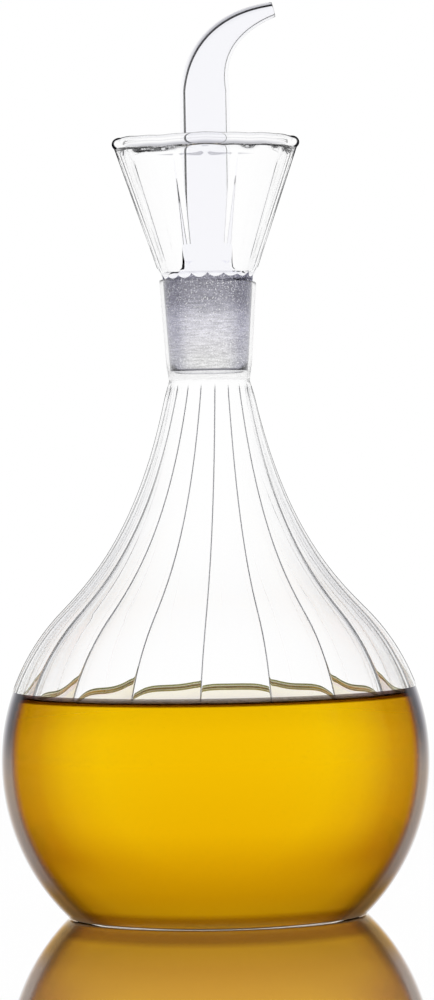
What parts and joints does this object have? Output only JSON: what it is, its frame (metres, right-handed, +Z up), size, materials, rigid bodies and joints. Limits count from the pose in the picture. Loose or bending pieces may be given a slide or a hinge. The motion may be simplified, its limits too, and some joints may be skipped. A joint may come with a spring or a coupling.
{
  "type": "glass oil cruet",
  "caption": "Ball-shaped glass oil cruet with a narrow neck, closed by a hollow ground stopper with a flared drip cup and a bent pouring spout, for keeping and pouring oil.",
  "frame": {"origin": "on the flask's axis, at the height of the table that its foot ring stands on", "axes": "+Z up the axis of the flask and stopper, +X from the axis towards the tip of the spout"},
  "size_m": [0.1143, 0.1144, 0.2428],
  "materials": {
    "clear_glass": "polished",
    "ground_glass": "ground matt",
    "olive_oil": "clear liquid"
  },
  "bodies": {
    "flask": {"flask_body": "clear_glass", "neck_socket": "ground_glass", "oil_fill": "olive_oil"},
    "stopper_cone": {"ground_cone": "ground_glass"},
    "stopper": {"drip_cup": "clear_glass", "pouring_spout": "clear_glass"}
  },
  "joints": [
    {"name": "stopper_lift", "type": "slide", "parent": "flask", "child": "stopper_cone", "axis": [0, 0, 1], "range_m": [0, 0.04]},
    {"name": "stopper_turn", "type": "hinge", "parent": "stopper_cone", "child": "stopper", "pos_m": [0, 0, 0.1699], "axis": [0, 0, 1], "continuous": true}
  ]
}
